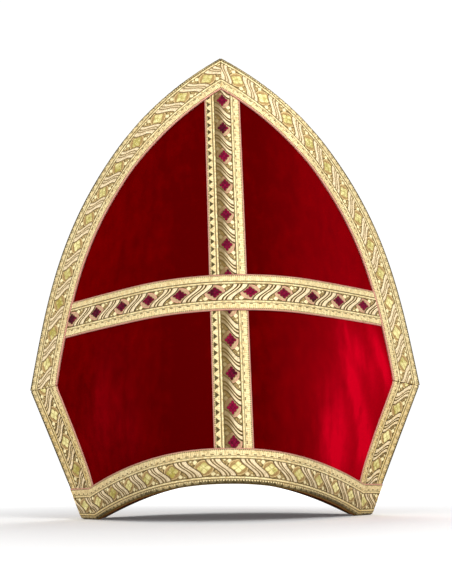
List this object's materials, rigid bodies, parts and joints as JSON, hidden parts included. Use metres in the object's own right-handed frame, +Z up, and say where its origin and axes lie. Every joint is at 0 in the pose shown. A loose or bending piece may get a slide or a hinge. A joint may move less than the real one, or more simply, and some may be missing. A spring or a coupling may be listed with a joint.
{
  "type": "bishop mitre",
  "caption": "Tall two-horned ceremonial hat of red velvet, joined at the side seams, with gold braid along every edge and a gold braid cross on the front horn.",
  "frame": {"origin": "on the floor at the centre of the bounding box, midway between the side seams", "axes": "+Z up to the points of the horns, -Y the front horn with the cross, +X to the right as seen from the front"},
  "size_m": [0.2906, 0.1952, 0.336],
  "materials": {
    "velvet": "short cut pile, soft sheen",
    "lining": "plain woven satin",
    "gold_braid": "metallic thread woven in a lozenge and twist pattern"
  },
  "bodies": {
    "root": {"front_horn": "velvet", "back_horn": "velvet", "crown_gusset": "lining", "front_arch_braid_right": "gold_braid", "back_arch_braid_right": "gold_braid", "front_arch_braid_left": "gold_braid", "back_arch_braid_left": "gold_braid", "front_side_braid_right": "gold_braid", "back_side_braid_right": "gold_braid", "front_side_braid_left": "gold_braid", "back_side_braid_left": "gold_braid", "front_rim_braid": "gold_braid", "back_rim_braid": "gold_braid", "cross_bar": "gold_braid", "cross_upright_lower": "gold_braid", "cross_upright_upper": "gold_braid"}
  },
  "joints": []
}
